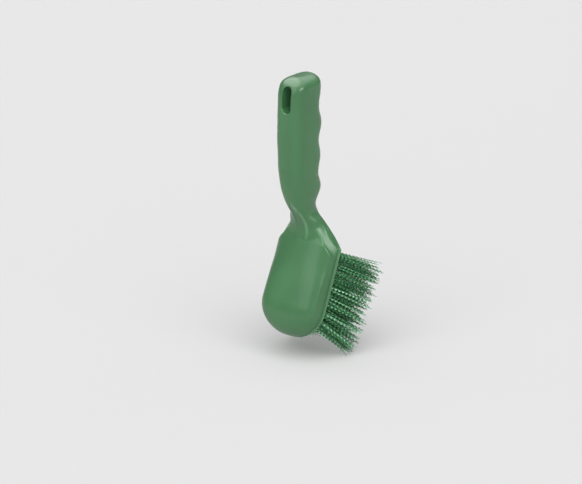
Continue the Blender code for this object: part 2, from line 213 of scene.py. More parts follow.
# Clumps and filaments
OUTER_TUFTS = 2
OUTER_CLUMPS = 9
INNER_CLUMPS = 5
CLUMP_FILAMENTS = 5
CLUMP_TURN = 2.39996
FILAMENT_RADIUS = 0.34
FILAMENT_TAPER = 0.15
TIP_TAPER = 0.3
TIP_POWER = 8
TUFT_RADIUS = 1.8
BUSH_RADIUS = 4.1
BUSH_RISE = 5.0
BUSH_SPREAD = 0.07
FREE_REACH = 3.0
HEEL_ROW_SPREAD = 1.1
HEEL_ROW_PULL = 0.1
NOSE_ROW_PULL = 0.35
CRIMP_PITCH = 4.5
CRIMP_HEIGHT = 0.55
CRIMP_MARGIN = 0.4
TRIM = (55.0, 48.0)
TRIM_RISE = 0.6
NOSE_EXTRA = 5.0
NOSE_EXTRA_POWER = 6
LEAN_HEEL = math.radians(8)
LEAN_NOSE = math.radians(9)
LEAN_CORNER = math.radians(21)
FLARE = math.radians(10)
FLARE_WIDTH = 28.2

# Chance in the bristles: spreads of the normal draws, and ranges of the even ones
TUFT_DRIFT = 0.008
CLUMP_DRIFT = 0.012
CLUMP_TWIST = 0.35
CLUMP_TONE = (0.5, 0.24)
# how strong each clump's painted glints and shade along the crimps are
CLUMP_GLINT_CONTRAST = (0.15, 0.5)
STRAY_CHANCE = 0.08
STRAY_DRIFT = 3.0
STRAY_LENGTH = 0.7
LENGTH_SPREAD = 1.7
CRIMP_SLIP = 0.12
CRIMP_SCALE = (0.8, 1.15)
FILAMENT_DRIFT = 0.009
FILAMENT_OFFSET = 0.34375
FILAMENT_TWIST = 0.15
FILAMENT_SCALE = (0.85, 1.12)
FILAMENT_TONE = 0.1

# Colours and gloss
PLASTIC = ((0.039, 0.129, 0.050), (0.048, 0.152, 0.060))
PLASTIC_STREAK = (0.93, 1.05)
PLASTIC_ROUGHNESS = (0.22, 0.28)
PLASTIC_IOR = 1.49
# painted highlight: the lip is painted paler than the crown
LIP_HIGHLIGHT = (1.75, 1.45, 1.65)
LIP_HIGHLIGHT_START = -0.2
LIP_HIGHLIGHT_END = 0.8
# painted highlight: how much paler the marked edges are painted
EDGE_HIGHLIGHT = (2.0, 1.75, 1.95)
BRISTLE = ((0.012, 0.088, 0.029), (0.046, 0.225, 0.076), (0.29, 0.61, 0.36))
# painted glints and shade: crimps turning one way are painted dark, the other way pale
BRISTLE_GLINTS = ((0.26, 0.32, 0.26), (0.9, 0.95, 0.9), (2.5, 2.1, 2.45))
BRISTLE_ROOT = 0.7
BRISTLE_TIP = (1.8, 1.6, 1.8)
BRISTLE_MOTTLE = (0.9, 1.1)
BRISTLE_ROUGHNESS = 0.32
STEEL = ((0.50, 0.51, 0.53), (0.68, 0.69, 0.71))
STEEL_ROUGHNESS = (0.25, 0.42)

# Floor of the studio
FLOOR_ALBEDO = 0.50
FLOOR_MOTTLE = (0.995, 1.005)
FLOOR_GLOW = 0.13
FLOOR_ROUGHNESS = 0.9
FLOOR_SIZE = 6000.0
FLOOR_DROP = 0.2

# Light of the studio
ROOM = ((0.0, 0.28), (0.2, 0.32), (0.45, 0.5), (0.65, 0.85), (1.0, 0.5))  # height of the direction, radiance
LAMPS = (  # name, azimuth and elevation, radiance, spread, whether diffuse and glossy surfaces show it
    ("key", (-52.0, 42.0), 2.2, 90.0, True, False),
    ("overhead", (150.0, 70.0), 1.7, 84.0, False, True),
    ("window", (-12.0, 30.0), 5.5, 36.0, False, True),
    ("side", (-110.0, 34.0), 1.2, 44.0, False, True),
    ("strip", (-175.0, 60.0), 2.4, 60.0, False, True),
)

# Camera, fitted to the photograph
AZIMUTH = math.radians(41.3)
ELEVATION = math.radians(19.1)
SCALE = 1.04
IMAGE = (582, 484)
ORIGIN_PIXEL = (285.5, 101.0)
DISTANCE = 15.0
SENSOR = 36.0
CLIP_START = 0.1
CLIP_END = 100.0

Clump = namedtuple("Clump", "root share shift plane tone contrast slope")


def hermite(x, table):
    """A smooth curve through the rows (x, values...) of a table, with no overshoot."""
    table = np.array(table, float)
    knots, values = table[:, 0], table[:, 1:]
    steps = np.diff(knots)[:, None]
    slopes = np.diff(values, axis=0) / steps
    product = slopes[:-1] * slopes[1:]
    total = slopes[:-1] + slopes[1:]
    inner = np.where(product > 0, 2 * product / np.where(total == 0, 1.0, total), 0.0)
    tangents = np.vstack((slopes[:1], inner, slopes[-1:]))
    x = np.atleast_1d(x)
    i = np.clip(np.searchsorted(knots, x, side="right") - 1, 0, len(knots) - 2)
    h = steps[i]
    t = ((x - knots[i]) / h[:, 0])[:, None]
    return ((2 * t**3 - 3 * t**2 + 1) * values[i] + (t**3 - 2 * t**2 + t) * h * tangents[i]
            + (3 * t**2 - 2 * t**3) * values[i + 1] + (t**3 - t**2) * h * tangents[i + 1])


def front_of_grip(z):
    """The handle's front, with a swelling between every two fingers, down to the neck's front."""
    places = np.array([(drop, HANDLE_DEPTH - GRIP_RELIEF * relief) for drop, relief in GRIP]
                      + [(1.0, NECK_SETBACK + NECK_DEPTH)])
    drop = -np.asarray(z, float) / NECK_DROP
    i = np.clip(np.searchsorted(places[:, 0], drop) - 1, 0, len(places) - 2)
    share = np.clip((drop - places[i, 0]) / (places[i + 1, 0] - places[i, 0]), 0, 1)
    return places[i, 1] + (places[i + 1, 1] - places[i, 1]) * (1 - np.cos(np.pi * share)) / 2


def back_of_grip(z):
    share = np.clip(-np.asarray(z, float) / (NECK_DROP * BACK_SWELL_SHARE), 0, 1)
    return -BACK_SWELL * (1 - np.cos(2 * np.pi * share)) / 2


def end_setback(z, rise_reach):
    rise, reach = rise_reach
    climb = np.clip((z - END_HEIGHT + rise) / rise, 0, 1)
    return reach * (1 - np.sqrt(1 - climb * climb))


def signed_power(value, power):
    return np.sign(value) * np.abs(value) ** power


def section(back, front, half_width, waist, back_power, front_power, overhang=0.0, flat=1.0):
    """A ring of (x, y, z) points through the back and front points, widest at its waist."""
    back, front = np.asarray(back, float), np.asarray(front, float)
    across = back - front
    depth = np.linalg.norm(across)
    across /= depth
    middle = front + across * depth * waist
    turn = np.linspace(0, np.pi, BACK_POINTS)
    back_x = (half_width - overhang) * signed_power(np.cos(turn), 2 / back_power)
    rise = (depth * (1 - waist) - LIP_STEP) * np.abs(np.sin(turn)) ** (2 / back_power) + LIP_STEP
    turn = np.linspace(np.pi, 2 * np.pi, FRONT_POINTS)
    front_x = half_width * signed_power(np.cos(turn), 2 / front_power)
    drop = depth * waist * np.minimum(1, flat * np.abs(np.sin(turn)) ** (2 / front_power))
    x = np.concatenate((back_x, front_x))
    out = np.concatenate((rise, -drop))[:, None]
    return np.column_stack((x, middle + across * out))


def head_axes():
    to_nose = np.array((-math.sin(HEAD_TILT), -math.cos(HEAD_TILT)))
    outward = np.array((math.cos(HEAD_TILT), -math.sin(HEAD_TILT)))
    return to_nose, outward


def curve_point(start, leave, arrive, end, share):
    rest = 1 - share
    return rest**3 * start + 3 * rest**2 * share * leave + 3 * rest * share**2 * arrive + share**3 * end


def handle_stations():
    """Rows of back, front, half width, waist, powers and overhang, from the handle's end to the neck."""
    rows = []
    for turn in np.linspace(0, np.pi / 2, END_RINGS):
        z = END_HEIGHT - END_BACK[0] * (1 - math.cos(turn))
        back = end_setback(z, END_BACK)
        front = front_of_grip(z) - end_setback(z, END_FRONT)
        half = HANDLE_WIDTH / 2 - end_setback(z, END_SIDE)
        rows.append((back, z, front, z, half, HANDLE_WAIST, HANDLE_POWER, HANDLE_POWER, 0.0))
    start = END_HEIGHT - END_BACK[0]
    for z in np.arange(start - HANDLE_STEP, -NECK_DROP - HANDLE_STEP / 2, -HANDLE_STEP):
        drop = min(1.0, -z / NECK_DROP)
        setback, narrowing, back_power, front_power = hermite(max(drop, TAPER[0][0]), TAPER)[0]
        back = back_of_grip(z) + NECK_SETBACK * setback
        front = front_of_grip(z)
        height = -NECK_DROP * drop
        half = (HANDLE_WIDTH + (NECK_WIDTH - HANDLE_WIDTH) * narrowing) / 2
        rows.append((back, height, front, height, half, HANDLE_WAIST, back_power, front_power, 0.0))
    return rows


def shoulder_stations():
    """The same rows, from the neck to the heel."""
    to_nose, outward = head_axes()
    ways = [np.array((math.sin(turn), -math.cos(turn))) for turn in SHOULDER_TURNS]
    back_start = np.array((NECK_SETBACK, -NECK_DROP))
    back_leave = back_start + ways[0] * SHOULDER_PULLS[0]
    back_end = HEEL - outward * CROWN_HEIGHT
    back_arrive = back_end - to_nose * SHOULDER_PULLS[1]
    front_start = np.array((NECK_SETBACK + NECK_DEPTH, -NECK_DROP))
    front_leave = front_start + ways[1] * SHOULDER_PULLS[2]
    front_end = HEEL + outward * LIP_THICKNESS
    front_arrive = front_end - ways[2] * SHOULDER_PULLS[3]
    rows = []
    for share in np.linspace(0, 1, SHOULDER_RINGS + 2)[1:-1]:
        back = curve_point(back_start, back_leave, back_arrive, back_end, share)
        front = curve_point(front_start, front_leave, front_arrive, front_end, share)
        widening, waist, back_power, front_power, overhang = hermite(share, SHOULDER)[0]
        half = (NECK_WIDTH + (HEAD_WIDTH - NECK_WIDTH) * widening) / 2
        rows.append((*back, *front, half, waist, back_power, front_power, LIP_OVERHANG * overhang))
    return rows


def softened(stations):
    """The stations with the turn at the neck eased into its neighbours."""
    rows = np.array(stations)
    middle = (rows[:, 0:2] + rows[:, 2:4]) / 2
    steps = np.linalg.norm(np.diff(middle, axis=0), axis=1)
    along = np.concatenate(([0], np.cumsum(steps)))
    spans = np.gradient(along)
    neck = along[np.argmin(np.abs(middle[:, 1] + NECK_DROP))]
    weights = np.exp(-((along[:, None] - along[None, :]) / SOFT_WIDTH) ** 2) * spans[None, :]
    eased = weights @ rows / weights.sum(axis=1, keepdims=True)
    share = np.clip(1 - ((along - neck) / SOFT_REACH) ** 2, 0, 1)[:, None] ** 2
    return rows + (eased - rows) * share


def thumb_rest_at(drop):
    """Half width, depth and edge height of the thumb rest at a drop below the slot."""
    return hermite(np.clip(drop, THUMB_REST[0][0], THUMB_REST[-1][0]), THUMB_REST).T


def body_sections():
    """The rings from the handle's end to the heel, with the thumb rest's hollow and edges in their backs."""
    rings = []
    for row in softened(handle_stations() + shoulder_stations()):
        back, front = row[0:2], row[2:4]
        ring = section(back, front, *row[4:9])
        half, depth, edge = thumb_rest_at(-back[1])
        x = ring[:BACK_POINTS, 0]
        hollow = depth * np.clip(1 - (x / half) ** 2, 0, 1) ** THUMB_POWER
        ridge = edge * np.exp(-((np.abs(x) - half) / THUMB_EDGE) ** 2)
        ring[:BACK_POINTS, 1:] += (hollow - ridge)[:, None] * (front - back) / np.linalg.norm(front - back)
        rings.append(ring)
    return rings


def plan_half_width(place, inset=0.0):
    into = np.clip((place - (HEAD_LENGTH - NOSE_LENGTH)) / (NOSE_LENGTH - inset), 0, 1)
    return (HEAD_WIDTH / 2 - inset) * (1 - into**NOSE_POWER) ** (1 / NOSE_POWER)


def head_sections():
    """The rings from the heel to the nose, closer together at both."""
    to_nose, outward = head_axes()
    straight = HEAD_LENGTH - NOSE_LENGTH
    fine = np.arange(0, HEEL_REACH, HEEL_STEP)
    coarse = np.arange(HEEL_REACH, straight, HEAD_STEP)
    stations = [(place, CROWN_HEIGHT) for place in np.concatenate((fine, coarse))]
    for share in np.sin(np.linspace(0, NOSE_END, NOSE_RINGS) * np.pi / 2):
        stations.append((straight + NOSE_LENGTH * share, CROWN_HEIGHT * math.sqrt(1 - share**2)))
    rings = []
    for place, height in stations:
        middle = HEEL + to_nose * place
        back = middle - outward * height
        front = middle + outward * LIP_THICKNESS
        half = plan_half_width(place)
        waist = LIP_THICKNESS / (LIP_THICKNESS + height)
        power = hermite(place, CROWN_POWERS)[0][0]
        rings.append(section(back, front, half, waist, power, FACE_POWER, LIP_OVERHANG, FACE_FLATNESS))
    return rings


def to_head(points):
    """Frame points as (across, from the heel, out along the bristles)."""
    to_nose, outward = head_axes()
    from_heel = points[:, 1:] - HEEL
    return np.column_stack((points[:, 0], from_heel @ to_nose, from_heel @ outward))


def from_head(points):
    """Head points as frame points, in millimetres."""
    to_nose, outward = head_axes()
    return np.column_stack((points[:, 0], HEEL + points[:, 1:2] * to_nose + points[:, 2:3] * outward))


def scoop_offsets(head, side):
    """For head points: the way out of one scoop, their share along it and across it, and how far out they
    and its floor lie."""
    scale = np.array((HEAD_WIDTH / 2 * side, HEAD_LENGTH, -CROWN_HEIGHT))
    curve = [np.array(place) * scale for place in SCOOP_CURVE]
    along = curve[-1] - curve[0]
    along /= np.linalg.norm(along)
    outward = np.array((curve[0][0] + curve[-1][0], 0, curve[0][2] + curve[-1][2]))
    outward -= along * outward.dot(along)
    outward /= np.linalg.norm(outward)
    shares = np.linspace(-SCOOP_OVERRUN, 1 + SCOOP_OVERRUN, SCOOP_STEPS)
    line = np.array([curve_point(*curve, share) for share in shares])
    line_along = (line - curve[0]) @ along
    order = np.argsort(line_along)
    head_along = (head - curve[0]) @ along
    share = np.interp(head_along, line_along[order], shares[order])
    columns = [np.interp(head_along, line_along[order], line[order, axis]) for axis in range(3)]
    middle = np.column_stack(columns)
    across = (head - middle) @ np.cross(along, outward) / (SCOOP_WIDTH / 2)
    floor = SCOOP_HOLLOW * across * across - SCOOP_DEPTH * (1 - (2 * share - 1) ** 4)
    return outward, share, across, (head - middle) @ outward, floor


def scooped(points):
    """The points with the two shoulder scoops pressed in."""
    head = to_head(points)
    for side in (-1, 1):
        outward, share, across, out, floor = scoop_offsets(head, side)
        beside = (share > -SCOOP_RUNOUT) & (share < 1 + SCOOP_RUNOUT) & (np.abs(across) < SCOOP_SIDE)
        gap = out - floor
        pressed = 0.5 * (out + floor - np.sqrt(gap * gap + SCOOP_ROUND**2))
        move = np.where(beside & (np.abs(out) < SCOOP_REACH), pressed - out, 0.0)
        fade = np.clip((SCOOP_SIDE - np.abs(across)) / SCOOP_SIDE_FADE, 0, 1)
        fade *= np.clip((share + SCOOP_RUNOUT) / SCOOP_RUNOUT_FADE, 0, 1)
        fade *= np.clip((1 + SCOOP_RUNOUT - share) / SCOOP_RUNOUT_FADE, 0, 1)
        head = head + (move * fade)[:, None] * outward
    return from_head(head)


def new_object(name, points, faces, smooth=True):
    mesh = bpy.data.meshes.new(name)
    mesh.from_pydata([tuple(point) for point in np.asarray(points) * MM], [], faces)
    mesh.validate()
    mesh.polygons.foreach_set("use_smooth", [smooth] * len(mesh.polygons))
    obj = bpy.data.objects.new(name, mesh)
    bpy.context.scene.collection.objects.link(obj)
    return obj


def set_values(obj, name, values):
    """Gives every point of the mesh a value, which the finishes read."""
    attribute = obj.data.attributes.new(name, "FLOAT", "POINT")
    attribute.data.foreach_set("value", values.astype(np.float32))


def skin(rings):
    """Points and faces of a closed skin over equal rings, capped at both ends."""
    count = len(rings[0])
    points = np.vstack(rings)
    faces = []
    for number in range(len(rings) - 1):
        low, high = number * count, (number + 1) * count
        for i in range(count):
            j = (i + 1) % count
            faces.append((low + i, high + i, high + j, low + j))
    last = (len(rings) - 1) * count
    faces.append(tuple(range(count)))
    faces.append(tuple(last + i for i in reversed(range(count))))
    return points, faces


def handle_surface(x, z, side):
    """How far along Y the handle's skin lies at (x, z), on its back or its front."""
    half = HANDLE_WIDTH / 2 - end_setback(z, END_SIDE)
    back = end_setback(z, END_BACK) + back_of_grip(z)
    front = front_of_grip(z) - end_setback(z, END_FRONT)
    depth = (front - back) / 2 - LIP_STEP * (side == "back")
    reach = depth * (1 - np.minimum(1, np.abs(x / half)) ** HANDLE_POWER) ** (1 / HANDLE_POWER)
    middle = (front + back) / 2
    return middle - reach - LIP_STEP if side == "back" else middle + reach


def slot_tool():
    """The obround slot, flared at both mouths to round their rims."""
    radius = SLOT_WIDTH / 2
    straight = SLOT_LENGTH / 2 - radius
    turn = np.linspace(0, np.pi, SLOT_ARC_POINTS)
    arc = np.column_stack((np.cos(turn), np.sin(turn)))
    wall = np.tile((1.0, 0.0), (SLOT_WALL_POINTS, 1))
    normals = np.concatenate((arc, -wall, -arc, wall))
    arc_centres = np.full(SLOT_ARC_POINTS, straight)
    wall_centres = np.linspace(straight, -straight, SLOT_WALL_POINTS + 2)[1:-1]
    centres = np.concatenate((arc_centres, wall_centres, -arc_centres, wall_centres[::-1]))
    rings = []
    for side, sign in (("back", -1), ("front", 1)):
        rows = []
        for turn in np.linspace(0, SLOT_ROUND_TURN, SLOT_ROUND_RINGS):
            out = SLOT_ROUND * (1 - math.cos(turn))
            lift = SLOT_ROUND * (1 - math.sin(turn))
            x = normals[:, 0] * (radius + out)
            z = centres + normals[:, 1] * (radius + out)
            y = handle_surface(x, z, side) - sign * lift
            rows.append(np.column_stack((x, y, z)))
        top = rows[-1].copy()
        top[:, 1] += sign * SLOT_OVERSHOOT
        top[:, 0] += normals[:, 0] * SLOT_OVERSPREAD
        top[:, 2] += normals[:, 1] * SLOT_OVERSPREAD
        rows.append(top)
        rings.append(rows)
    points, faces = skin(rings[0][::-1] + rings[1])
    return new_object("slot_tool", points, faces)


def tuft_places():
    """Every row's tufts, as (across, from the heel), an even and an odd number in turn."""
    rows = []
    for i, place in enumerate(ROW_PLACES):
        reach = plan_half_width(place, ROW_INSET) - ROW_MARGIN + ROW_INSET
        count = int(round(2 * reach / TUFT_SPACING)) + 1
        count -= (count + i) % 2
        rows.append([(x, place) for x in np.linspace(-reach, reach, count)])
    return rows


def hole_tool():
    """The mouths of all the tufts' holes, with a chamfer round each."""
    turn = np.linspace(0, 2 * np.pi, HOLE_SIDES + 1)[:-1]
    profile = (
        (HOLE_RADIUS, LIP_THICKNESS - HOLE_DEPTH),
        (HOLE_RADIUS, LIP_THICKNESS - HOLE_CHAMFER),
        (HOLE_RADIUS + HOLE_CHAMFER, LIP_THICKNESS + HOLE_LIFT),
        (HOLE_RADIUS + HOLE_CHAMFER, LIP_THICKNESS + HOLE_OVERSHOOT),
    )
    points, faces = [], []
    for row in tuft_places():
        for x, place in row:
            rings = []
            for radius, height in profile:
                ring_x = x + radius * np.cos(turn)
                ring_place = place + radius * np.sin(turn)
                rings.append(from_head(np.column_stack((ring_x, ring_place, np.full(HOLE_SIDES, height)))))
            hole_points, hole_faces = skin(rings)
            faces += [tuple(i + len(points) for i in face) for face in hole_faces]
            points += list(hole_points)
    return new_object("hole_tool", points, faces)


def cut(target, tool):
    modifier = target.modifiers.new("Cut", "BOOLEAN")
    modifier.operation = "DIFFERENCE"
    modifier.solver = "EXACT"
    modifier.object = tool
    bpy.context.view_layer.update()
    mesh = bpy.data.meshes.new_from_object(target.evaluated_get(bpy.context.evaluated_depsgraph_get()))
    target.modifiers.remove(modifier)
    target.data = mesh
    bpy.data.objects.remove(tool, do_unlink=True)


def fix_normals(obj):
    mesh = bmesh.new()
    mesh.from_mesh(obj.data)
    bmesh.ops.recalc_face_normals(mesh, faces=mesh.faces)
    mesh.to_mesh(obj.data)
    mesh.free()


def mark_painted_highlights(block):
    """Marks how much each point lies on an edge that is painted paler as a highlight: the rims of the scoops,
    and the thumb rest's edge on the +X side, more where it faces -Y."""
    count = len(block.data.vertices)
    points, normals = np.empty(count * 3, np.float32), np.empty(count * 3, np.float32)
    block.data.vertices.foreach_get("co", points)
    block.data.vertices.foreach_get("normal", normals)
    points, normals = points.reshape(-1, 3) / MM, normals.reshape(-1, 3)
    half, _, edge = thumb_rest_at(-points[:, 2])
    near = np.exp(-((np.abs(points[:, 0]) - half) / THUMB_HIGHLIGHT_WIDTH) ** 2)
    height = np.clip(edge / max(row[-1] for row in THUMB_REST), 0, 1)
    facing = np.clip(-THUMB_HIGHLIGHT_FACING * normals[:, 1], 0, 1)
    # painted highlight: only the +X edge, and more where it faces -Y
    edge_highlight = near * height * facing * (points[:, 0] > 0)
    for side in (-1, 1):
        _, share, across, out, floor = scoop_offsets(to_head(points), side)
        beside = (share > RIM_HIGHLIGHT_END) & (share < 1 - RIM_HIGHLIGHT_END) & (np.abs(across) < RIM_HIGHLIGHT_SIDE)
        edge_highlight += np.where(beside, np.exp(-((floor - out - RIM_SETBACK) / RIM_WIDTH) ** 2), 0.0)
    set_values(block, "edge_highlight", edge_highlight)


def make_block():
    points, faces = skin(body_sections() + head_sections())
    block = new_object("brush_block", scooped(points), faces)
    fix_normals(block)
    for tool in (slot_tool(), hole_tool()):
        fix_normals(tool)
        cut(block, tool)
    block.data.polygons.foreach_set("use_smooth", [True] * len(block.data.polygons))
    block.data.set_sharp_from_angle(angle=SHARP_ANGLE)
    mark_painted_highlights(block)
    return block


def crimp_stations(length, shift):
    """Places along a filament where its crimps turn, with +1 and -1 for the two ways."""
    numbers = np.arange(math.ceil((length + shift) / (CRIMP_PITCH / 2)))
    places = numbers * CRIMP_PITCH / 2 - shift
    keep = (places > CRIMP_MARGIN) & (places < length - CRIMP_MARGIN)
    signs = np.where(numbers % 2, 1.0, -1.0)[keep]
    return np.concatenate(((0.0,), places[keep], (length,))), np.concatenate((-signs[:1], signs, -signs[-1:]))


def tuft_slope(x, along):
    """How far a tuft at x leans across and towards the nose, for each millimetre out."""
    outward = x / FLARE_WIDTH
    lean = LEAN_HEEL + (LEAN_NOSE - LEAN_HEEL) * along
    lean += (LEAN_CORNER - LEAN_NOSE) * along**3 * outward * outward
    return np.array((math.tan(FLARE) * outward, math.tan(lean)))


def draw_clump(rng, row, root, turn, radius, slope):
    """One clump of a tuft: its place in the bush, its crimps, its tone and its slope."""
    across, toward = radius * math.cos(turn), radius * math.sin(turn)
    if row == len(ROW_PLACES):
        toward = min(toward, 0.0) - NOSE_ROW_PULL
    elif row == 1:
        toward = toward * HEEL_ROW_SPREAD - HEEL_ROW_PULL
    shift = rng.uniform(0, CRIMP_PITCH)
    plane = rng.normal(0, CLUMP_TWIST)
    tone = np.clip(rng.normal(*CLUMP_TONE), 0, 1)
    contrast = rng.uniform(*CLUMP_GLINT_CONTRAST)
    drift = rng.normal(0, CLUMP_DRIFT, 2)
    return Clump(root, (across, toward), shift, plane, tone, contrast, slope + drift)


def draw_filament(rng, trim, clump):
    """The middle line, the radii, the shares of the length and the crimps' ways of one filament."""
    stray = STRAY_DRIFT if rng.uniform() < STRAY_CHANCE else 1.0
    length = trim + TRIM_RISE + rng.normal(0, LENGTH_SPREAD) + (stray - 1) * STRAY_LENGTH
    places, signs = crimp_stations(length, clump.shift + rng.normal(0, CRIMP_SLIP))
    height = LIP_THICKNESS - HOLE_DEPTH + places
    up = np.maximum(0, height - LIP_THICKNESS)
    free = np.clip(up / FREE_REACH, 0, 1)
    bush = TUFT_RADIUS + (BUSH_RADIUS - TUFT_RADIUS) * (1 - np.exp(-up / BUSH_RISE)) + BUSH_SPREAD * up
    slope = clump.slope + rng.normal(0, FILAMENT_DRIFT, 2) * stray
    offset = rng.normal(0, FILAMENT_OFFSET, 2)
    wave = CRIMP_HEIGHT * rng.uniform(*CRIMP_SCALE) * signs * free
    direction = clump.plane + rng.normal(0, FILAMENT_TWIST)
    ways = (math.sin(direction), math.cos(direction))
    middle = [clump.root[axis] + clump.share[axis] * bush + offset[axis] * (1 + free) / 2 + slope[axis] * up
              + wave * ways[axis] for axis in range(2)]
    reach = places / length
    taper = 1 - FILAMENT_TAPER * reach - TIP_TAPER * reach**TIP_POWER
    radii = FILAMENT_RADIUS * rng.uniform(*FILAMENT_SCALE) * taper
    return np.column_stack((*middle, height)), radii, reach, signs


def three_sided(middle, radii, turn, first):
    """Points and faces of a filament about its middle line, closed at both ends, numbered from the first."""
    angles = turn + np.array((0, 2, 4)) * np.pi / 3
    ring = np.column_stack((np.cos(angles), np.sin(angles), np.zeros(3)))
    points = middle[:, None, :] + radii[:, None, None] * ring[None, :, :]
    steps = len(middle) - 1
    low = np.arange(steps)[:, None] * 3 + first
    i = np.arange(3)[None, :]
    j = (i + 1) % 3
    quads = np.stack((low + i, low + j, low + 3 + j, low + 3 + i), axis=-1).reshape(-1, 4)
    last = first + steps * 3
    return points.reshape(-1, 3), quads.tolist() + [[first + 2, first + 1, first], [last, last + 1, last + 2]]


def make_row(number, tufts, rng):
    """One row of tufts: clumps of filaments, crimped in step, that bush out and lean to ragged tips."""
    along = (number - 1) / (len(ROW_PLACES) - 1)
    trim = TRIM[0] + (TRIM[1] - TRIM[0]) * along + NOSE_EXTRA * along**NOSE_EXTRA_POWER
    all_points, all_faces = [], []
    values = {"tone": [], "reach": [], "crest": []}
    count = 0
    for i, root in enumerate(tufts):
        outer = number in (1, len(ROW_PLACES)) or i < OUTER_TUFTS or i >= len(tufts) - OUTER_TUFTS
        clumps = OUTER_CLUMPS if outer else INNER_CLUMPS
        slope = tuft_slope(root[0], along) + rng.normal(0, TUFT_DRIFT, 2)
        start = rng.uniform(0, 2 * np.pi)
        for k in range(clumps):
            radius = math.sqrt((k + 0.5) / clumps)
            clump = draw_clump(rng, number, root, k * CLUMP_TURN + start, radius, slope)
            for _ in range(CLUMP_FILAMENTS):
                middle, radii, reach, signs = draw_filament(rng, trim, clump)
                points, faces = three_sided(middle, radii, rng.uniform(0, 2 * np.pi), count)
                tone = np.clip(clump.tone + rng.normal(0, FILAMENT_TONE), 0, 1)
                all_points.append(points)
                all_faces += faces
                values["tone"].append(np.full(len(points), tone))
                values["reach"].append(np.repeat(reach, 3))
                # painted glints and shade: which way each crimp turns, scaled by the clump's contrast
                values["crest"].append(np.repeat(signs * clump.contrast + 0.5, 3))
                count += len(points)
    row = new_object(f"bristles_{number:02d}", from_head(np.vstack(all_points)), all_faces)
    for name, parts in values.items():
        set_values(row, name, np.concatenate(parts))
    return row


def shader_of(name):
    material = bpy.data.materials.new(name)
    material.use_nodes = True
    tree = material.node_tree
    return material, tree, tree.nodes["Principled BSDF"]


def node(tree, kind, **settings):
    made = tree.nodes.new(kind)
    for key, value in settings.items():
        setattr(made, key, value)
    return made


def object_place(tree):
    return node(tree, "ShaderNodeTexCoord").outputs["Object"]


def point_value(tree, name):
    return node(tree, "ShaderNodeAttribute", attribute_name=name).outputs["Fac"]


def noise(tree, coordinates, scale, detail, rough, stretch=(1, 1, 1)):
    mapping = node(tree, "ShaderNodeMapping")
    mapping.inputs["Scale"].default_value = stretch
    tree.links.new(coordinates, mapping.inputs["Vector"])
    made = node(tree, "ShaderNodeTexNoise")
    made.inputs["Scale"].default_value = scale
    made.inputs["Detail"].default_value = detail
    made.inputs["Roughness"].default_value = rough
    tree.links.new(mapping.outputs["Vector"], made.inputs["Vector"])
    return made.outputs["Fac"]


def grey(level):
    return (level,) * 3


def ramp(tree, value, *stops):
    """The colour at a value, from stops of (place, colour)."""
    made = node(tree, "ShaderNodeValToRGB")
    elements = made.color_ramp.elements
    while len(elements) < len(stops):
        elements.new(0.5)
    for element, (place, colour) in zip(elements, stops):
        element.position = place
        element.color = (*colour, 1)
    tree.links.new(value, made.inputs["Fac"])
    return made.outputs["Color"]


def remap(tree, value, source, target):
    """The value, moved from one range to another."""
    made = node(tree, "ShaderNodeMapRange")
    for key, number in zip(("From Min", "From Max", "To Min", "To Max"), (*source, *target)):
        made.inputs[key].default_value = number
    tree.links.new(value, made.inputs["Value"])
    return made.outputs["Result"]


def multiply(tree, colour, *others):
    """The colours, multiplied one after another."""
    for other in others:
        made = node(tree, "ShaderNodeMix", data_type="RGBA", blend_type="MULTIPLY")
        made.inputs["Factor"].default_value = 1.0
        tree.links.new(colour, made.inputs["A"])
        tree.links.new(other, made.inputs["B"])
        colour = made.outputs["Result"]
    return colour


def bump(tree, shader, *layers):
    """Chains bump layers of (height, strength, distance) into the shader's normal."""
    normal = None
    for height, strength, distance in layers:
        made = node(tree, "ShaderNodeBump")
        made.inputs["Strength"].default_value = strength
        made.inputs["Distance"].default_value = distance
        tree.links.new(height, made.inputs["Height"])
        if normal:
            tree.links.new(normal, made.inputs["Normal"])
        normal = made.outputs["Normal"]
    tree.links.new(normal, shader.inputs["Normal"])


def lip_share(tree, place):
    """0 on the crown and 1 on the lip, by how far out along the bristles a point lies."""
    outward = head_axes()[1]
    height = node(tree, "ShaderNodeVectorMath", operation="DOT_PRODUCT")
    height.inputs[1].default_value = (0, *outward)
    tree.links.new(place, height.inputs[0])
    start = float(HEEL @ outward) * MM
    source = (start + LIP_HIGHLIGHT_START * MM, start + LIP_HIGHLIGHT_END * MM)
    return remap(tree, height.outputs["Value"], source, (0.0, 1.0))


def moulded_plastic():
    """Green plastic with faint flow marks, with the lip and the marked edges painted paler as highlights."""
    material, tree, shader = shader_of("moulded_green")
    place = object_place(tree)
    flow = noise(tree, place, scale=42.0, detail=3.0, rough=0.5, stretch=(1, 1, 0.16))
    cloud = noise(tree, place, scale=16.0, detail=4.0, rough=0.55)
    grain = noise(tree, place, scale=1500.0, detail=2.0, rough=0.5)
    peel = noise(tree, place, scale=210.0, detail=2.0, rough=0.4)
    base = ramp(tree, cloud, (0.3, PLASTIC[0]), (0.7, PLASTIC[1]))
    streak = ramp(tree, flow, (0.35, grey(PLASTIC_STREAK[0])), (0.65, grey(PLASTIC_STREAK[1])))
    # painted highlight: the lip is painted paler
    lip = ramp(tree, lip_share(tree, place), (0.0, grey(1.0)), (1.0, LIP_HIGHLIGHT))
    # painted highlight: the marked edges are painted paler
    painted_edges = ramp(tree, point_value(tree, "edge_highlight"), (0.0, grey(1.0)), (1.0, EDGE_HIGHLIGHT))
    colour = multiply(tree, base, streak, multiply(tree, lip, painted_edges))
    tree.links.new(colour, shader.inputs["Base Color"])
    tree.links.new(remap(tree, cloud, (0.3, 0.7), PLASTIC_ROUGHNESS), shader.inputs["Roughness"])
    shader.inputs["IOR"].default_value = PLASTIC_IOR
    bump(tree, shader, (peel, 0.10, 0.4 * MM), (grain, 0.06, 0.1 * MM))
    return material


